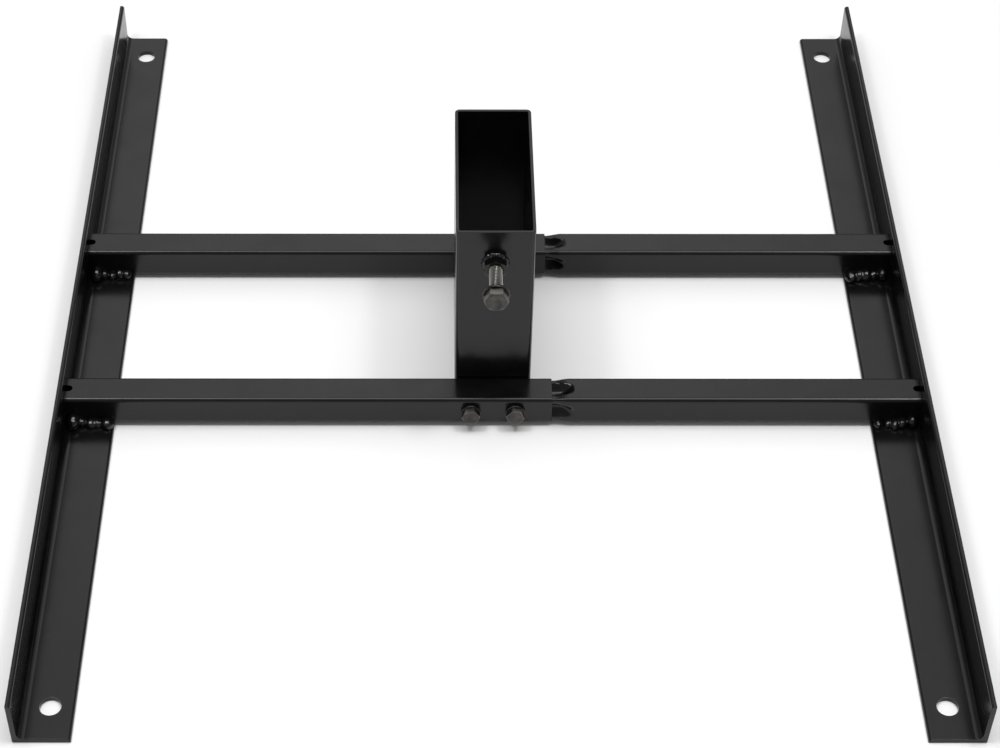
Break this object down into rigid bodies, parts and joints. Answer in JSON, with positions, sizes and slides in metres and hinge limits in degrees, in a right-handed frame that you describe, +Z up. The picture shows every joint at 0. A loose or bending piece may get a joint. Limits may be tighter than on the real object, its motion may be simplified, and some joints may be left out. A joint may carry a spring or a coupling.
{
  "type": "post stand base",
  "caption": "Knock-down black steel H-shaped ground base with angle rails, plug-in cross bars and a clamped rectangular socket for an upright timber post.",
  "frame": {"origin": "on the ground, at the middle of the base between the two rails", "axes": "+X to the right across the cross bars, +Y along the rails to the back, +Z up along the post socket; the clamp bolt faces -Y"},
  "size_m": [0.527, 0.624, 0.141],
  "materials": {
    "powder_coat": "satin black powder coat",
    "painted_weld": "rippled weld beads under glossy black coating",
    "black_zinc": "dull black zinc plating"
  },
  "bodies": {
    "base": {"back_left_bolt": "black_zinc", "back_left_nut": "black_zinc", "back_left_tube": "powder_coat", "back_left_washer": "black_zinc", "back_left_weld": "painted_weld", "back_right_bolt": "black_zinc", "back_right_nut": "black_zinc", "back_right_tube": "powder_coat", "back_right_washer": "black_zinc", "back_right_weld": "painted_weld", "clamp_nut": "powder_coat", "clamp_nut_weld": "painted_weld", "front_left_bolt": "black_zinc", "front_left_nut": "black_zinc", "front_left_tube": "powder_coat", "front_left_washer": "black_zinc", "front_left_weld": "painted_weld", "front_right_bolt": "black_zinc", "front_right_nut": "black_zinc", "front_right_tube": "powder_coat", "front_right_washer": "black_zinc", "front_right_weld": "painted_weld", "left_rail": "powder_coat", "post_socket": "powder_coat", "right_rail": "powder_coat"},
    "clamp_washer": {"clamp_washer": "black_zinc"},
    "clamp_bolt": {"clamp_bolt": "black_zinc"}
  },
  "joints": [
    {"name": "clamp_travel", "type": "slide", "parent": "base", "child": "clamp_washer", "axis": [0, 1, 0], "range_m": [-0.0101, 0.0189]},
    {"name": "clamp_turn", "type": "hinge", "parent": "clamp_washer", "child": "clamp_bolt", "pos_m": [0, -0.0845, 0.117], "axis": [0, 1, 0], "range_deg": [-2880, 5400]}
  ],
  "couplings": [
    {"joint": "clamp_travel", "follows": "clamp_turn", "m_per_rad": 0.00019894}
  ]
}
